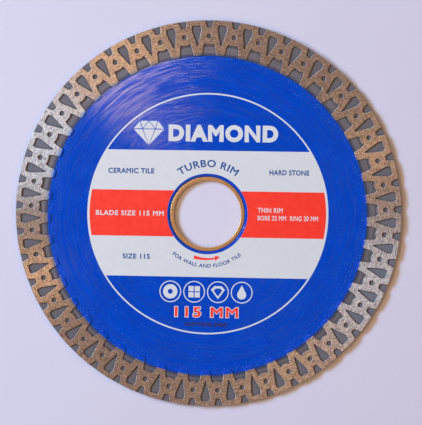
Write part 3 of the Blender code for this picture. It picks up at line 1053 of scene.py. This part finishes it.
def make_lights():
    """A cool window on the left and two warm lamps, one of them small and close."""
    area_light("window", azimuth=160, elevation=34, distance=1.5, size=(0.80, 0.36), watts=33.5,
               colour=WINDOW_LIGHT)
    area_light("warm_lamp", azimuth=129, elevation=65, distance=0.275, size=(0.060, 0.060), watts=0.100,
               colour=LAMP_LIGHT)
    area_light("warm_side", azimuth=202, elevation=50, distance=1.5, size=(0.08, 0.20), watts=2.8,
               colour=SIDE_LIGHT)


def make_room():
    """A warm ceiling, dim towards the horizon, bright higher up and dark around its axis."""
    world = bpy.data.worlds.new("room")
    world.use_nodes = True
    tree = world.node_tree
    background = tree.nodes["Background"]
    direction = tree.nodes.new("ShaderNodeTexCoord")
    nearness = tree.nodes.new("ShaderNodeVectorMath")
    nearness.operation = "DOT_PRODUCT"
    nearness.inputs[1].default_value = CEILING_AXIS
    ceiling = tree.nodes.new("ShaderNodeValToRGB")
    stops = ceiling.color_ramp.elements
    stops[0].color = (*HORIZON_LIGHT, 1.0)
    stops[1].color = (*ZENITH_LIGHT, 1.0)
    for position, light in (
        (0.35, LOW_LIGHT),
        (0.62, CEILING_LIGHT),
        (0.86, CEILING_LIGHT),
        (0.935, ZENITH_LIGHT),
    ):
        stops.new(position).color = (*light, 1.0)
    tree.links.new(direction.outputs["Generated"], nearness.inputs[0])
    tree.links.new(nearness.outputs["Value"], ceiling.inputs[0])
    tree.links.new(ceiling.outputs[0], background.inputs["Color"])
    bpy.context.scene.world = world
    bpy.context.scene.view_settings.view_transform = "Standard"
    bpy.context.scene.view_settings.look = "None"


def make_paper():
    """The sheet of paper that the blade lies on."""
    bm = bmesh.new()
    bmesh.ops.create_grid(bm, x_segments=4, y_segments=4, size=PAPER_HALF)
    bmesh.ops.translate(bm, verts=bm.verts[:], vec=(0, 0, cad_low.z - FLOOR_GAP))
    mesh = bpy.data.meshes.new("paper_sheet")
    bm.to_mesh(mesh)
    bm.free()
    mesh.materials.append(paper_material())
    floor = bpy.data.objects.new("paper_sheet", mesh)
    link(floor)


def make_camera():
    """Above the blade and a little to its upper right, 400 mm away and looking at its middle."""
    distance = 400 * MM
    turn = math.radians(0.85)
    lean_right = 0.0479
    lean_up = 0.0296
    up_axis = Vector((0, 0, 1))
    along = Vector((math.cos(turn), math.sin(turn), 0))
    down = Vector((math.sin(turn), -math.cos(turn), 0))
    right = along * math.cos(lean_right) - up_axis * math.sin(lean_right)
    depth = up_axis * math.cos(lean_right) + along * math.sin(lean_right)
    image_up = -down * math.cos(lean_up) - depth * math.sin(lean_up)
    back = depth * math.cos(lean_up) - down * math.sin(lean_up)
    camera_data = bpy.data.cameras.new("camera")
    camera_data.sensor_width = 36.0
    camera_data.lens = 113.56
    camera_data.shift_x = 0.00842
    camera_data.shift_y = 0.00334
    camera_data.clip_start = 0.01
    camera = bpy.data.objects.new("camera", camera_data)
    axes = Matrix((right, image_up, back)).transposed()
    camera.matrix_world = Matrix.Translation(back * distance) @ axes.to_4x4()
    link(camera)
    bpy.context.scene.camera = camera


# The whole blade

def at(x, y):
    """A plan point from its millimetres."""
    return (x * MM, y * MM)


def make_words(white, red, navy, dark):
    """The lettering: on the lacquer above and below the white band, on the band, and on the red bands."""
    upwards = math.pi / 2
    make_word("word_title", "DIAMOND", 32.6 * MM, 5.1 * MM, white, centre=at(4.4, 24.0),
              weight=0.060, low=WHITE_LOW, spacing=1.16)
    make_word("word_upper_arc", "TURBO RIM", 17.4 * MM, 2.2 * MM, navy, bend=(13.95 * MM, upwards, 1),
              weight=0.024, low=RED_LOW, spacing=1.12)
    make_word("word_left", "CERAMIC TILE", 13.8 * MM, 1.6 * MM, navy, centre=at(-22.9, 12.6),
              weight=0.034, low=RED_LOW, spacing=1.08)
    make_word("word_right", "HARD STONE", 11.8 * MM, 1.6 * MM, navy, centre=at(24.2, 12.6),
              weight=0.034, low=RED_LOW, spacing=1.08)
    make_word("word_band_left", "BLADE SIZE 115 MM", 20.4 * MM, 1.5 * MM, white,
              centre=at(-23.2, -0.05), weight=0.026, spacing=1.12)
    make_word("word_band_rim", "THIN RIM", 7.4 * MM, 1.45 * MM, white,
              centre=at(18.7, 1.35), weight=0.024, spacing=1.1)
    make_word("word_band_bore", "BORE 22 MM  RING 20 MM", 17.9 * MM, 1.45 * MM, white,
              centre=at(23.95, -0.95), weight=0.024, spacing=1.1)
    make_word("word_low_left", "SIZE 115", 8.2 * MM, 1.55 * MM, navy, centre=at(-21.1, -12.95),
              weight=0.034, low=RED_LOW, spacing=1.1)
    make_word("word_lower_arc", "FOR WALL AND FLOOR TILE", 22.5 * MM, 1.15 * MM, navy,
              bend=(16.05 * MM, -upwards, -1), weight=0.026, low=RED_LOW, spacing=1.08)
    make_word("word_size_border", "115 MM", 18.9 * MM, 3.0 * MM, white,
              centre=at(0.15, -29.35), weight=0.026, border=0.21 * MM, low=WHITE_LOW, spacing=1.2)
    make_word("word_size", "115 MM", 18.9 * MM, 3.0 * MM, red, centre=at(0.15, -29.35),
              weight=0.026, spacing=1.2)
    make_word("word_foot", "CUTTING DISC", 12.9 * MM, 1.15 * MM, dark, centre=at(0.1, -33.05),
              weight=0.050, low=WHITE_LOW, spacing=1.12)


def make_blade():
    """Every piece of the blade, from the metal up to the lettering."""
    white = ink_material("white_coat", WHITE, WHITE_WORN, 0.42)
    red = ink_material("red_coat", RED, RED_WORN, 0.40)
    navy = ink_material("navy_coat", NAVY, NAVY_WORN, 0.45)
    dark = ink_material("dark_coat", DARK, DARK_WORN, 0.45)
    blue = lacquer_material()

    make_rim(sintered_material())
    make_core(steel_material())
    make_ring(copper_material())
    make_lacquer("lacquer_front", 1, blue, "front_lacquer")
    make_lacquer("lacquer_back", -1, blue, "back_lacquer")
    make_white_print(white)
    make_red_band("ink_red_right", 0.0, red, "red_band_right")
    make_red_band("ink_red_left", math.pi, red, "red_band_left")
    make_arrow(red)
    make_emblem(white)
    make_signs(white)
    make_words(white, red, navy, dark)


make_lights()
make_room()
make_paper()
make_camera()
make_blade()
